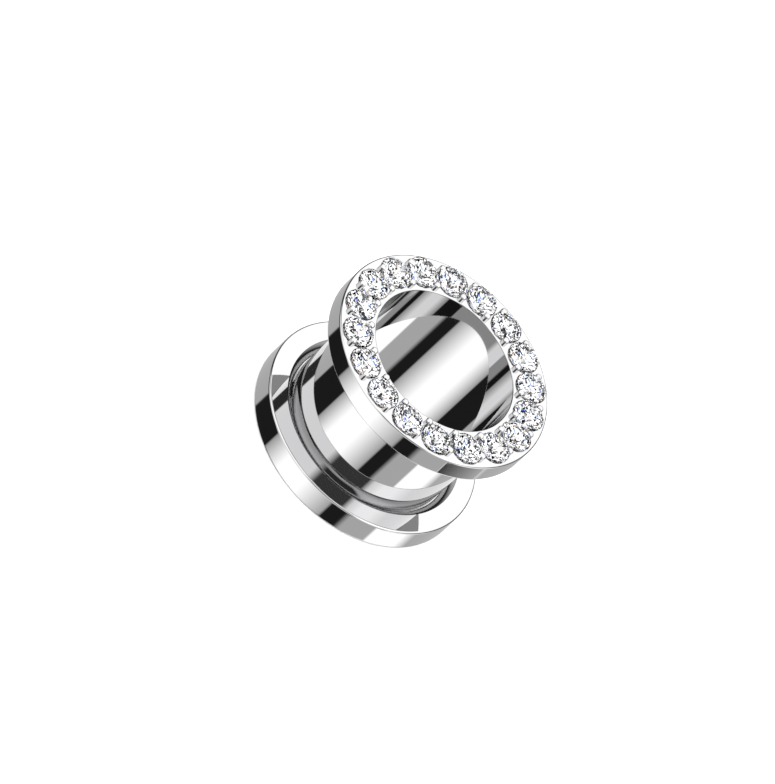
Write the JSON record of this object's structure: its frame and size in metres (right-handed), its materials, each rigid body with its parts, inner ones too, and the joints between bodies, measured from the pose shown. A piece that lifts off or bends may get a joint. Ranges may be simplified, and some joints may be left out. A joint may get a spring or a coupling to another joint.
{
  "type": "ear tunnel",
  "caption": "Screw-fit ear tunnel: an open polished tube between two round flanges, the front one set with clear round stones, the back one unscrewing.",
  "frame": {"origin": "centre of the back face of the back flange, on the surface that the tunnel stands on", "axes": "+Z along the bore, from the back flange to the stone-set front face; +X through the middle of the first stone"},
  "size_m": [0.0132, 0.0132, 0.0089],
  "materials": {
    "polished_steel": "mirror-polished stainless steel",
    "clear_stone": "clear brilliant-cut stone, bright and sparkling"
  },
  "bodies": {
    "back": {"back_flange": "polished_steel"},
    "front": {"gem_flange_barrel": "polished_steel", "stone_01": "clear_stone", "stone_02": "clear_stone", "stone_03": "clear_stone", "stone_04": "clear_stone", "stone_05": "clear_stone", "stone_06": "clear_stone", "stone_07": "clear_stone", "stone_08": "clear_stone", "stone_09": "clear_stone", "stone_10": "clear_stone", "stone_11": "clear_stone", "stone_12": "clear_stone", "stone_13": "clear_stone", "stone_14": "clear_stone", "stone_15": "clear_stone", "stone_16": "clear_stone", "stone_17": "clear_stone", "stone_18": "clear_stone"}
  },
  "joints": [
    {"name": "back_flange_unscrew", "type": "slide", "parent": "back", "child": "front", "axis": [0, 0, 1], "range_m": [0, 0.012]}
  ]
}
